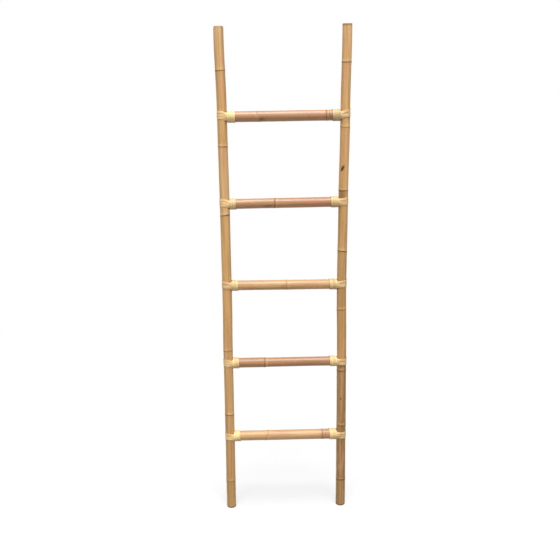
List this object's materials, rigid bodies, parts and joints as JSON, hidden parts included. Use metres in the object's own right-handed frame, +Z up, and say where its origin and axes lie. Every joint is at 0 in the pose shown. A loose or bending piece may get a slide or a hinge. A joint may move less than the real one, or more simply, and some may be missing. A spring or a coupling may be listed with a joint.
{
  "type": "blanket ladder",
  "caption": "Free-standing rattan leaning ladder for blankets and towels: two natural cane poles, cane rungs lashed on with split peel.",
  "frame": {"origin": "on the floor, midway between the two feet, on the poles' centre plane", "axes": "+Z up along the poles, +X from the left pole to the right one as seen from the front, front faces -Y"},
  "size_m": [0.4651, 0.0438, 1.8],
  "materials": {
    "pole_cane": "thick rattan cane, skin sanded thin and clear lacquered, golden tan, satin",
    "rung_cane": "thick rattan cane, pinker and browner than the poles, clear lacquered, gloss",
    "peel": "flat split rattan peel, pale straw, satin",
    "screw_steel": "zinc-plated",
    "brad_steel": "bright wire"
  },
  "bodies": {
    "root": {"left_pole": "pole_cane", "right_pole": "pole_cane", "rung_1": "rung_cane", "rung_2": "rung_cane", "rung_3": "rung_cane", "rung_4": "rung_cane", "rung_5": "rung_cane", "left_strap_1_lower": "peel", "left_strap_1_middle": "peel", "left_strap_1_upper": "peel", "right_strap_1_lower": "peel", "right_strap_1_middle": "peel", "right_strap_1_upper": "peel", "left_strap_2_lower": "peel", "left_strap_2_middle": "peel", "left_strap_2_upper": "peel", "right_strap_2_lower": "peel", "right_strap_2_middle": "peel", "right_strap_2_upper": "peel", "left_strap_3_lower": "peel", "left_strap_3_middle": "peel", "left_strap_3_upper": "peel", "right_strap_3_lower": "peel", "right_strap_3_middle": "peel", "right_strap_3_upper": "peel", "left_strap_4_lower": "peel", "left_strap_4_middle": "peel", "left_strap_4_upper": "peel", "right_strap_4_lower": "peel", "right_strap_4_middle": "peel", "right_strap_4_upper": "peel", "left_strap_5_lower": "peel", "left_strap_5_middle": "peel", "left_strap_5_upper": "peel", "right_strap_5_lower": "peel", "right_strap_5_middle": "peel", "right_strap_5_upper": "peel", "left_collar_1": "peel", "right_collar_1": "peel", "left_collar_2": "peel", "right_collar_2": "peel", "left_collar_3": "peel", "right_collar_3": "peel", "left_collar_4": "peel", "right_collar_4": "peel", "left_collar_5": "peel", "right_collar_5": "peel", "joint_screws": "screw_steel", "collar_brads": "brad_steel"}
  },
  "joints": []
}
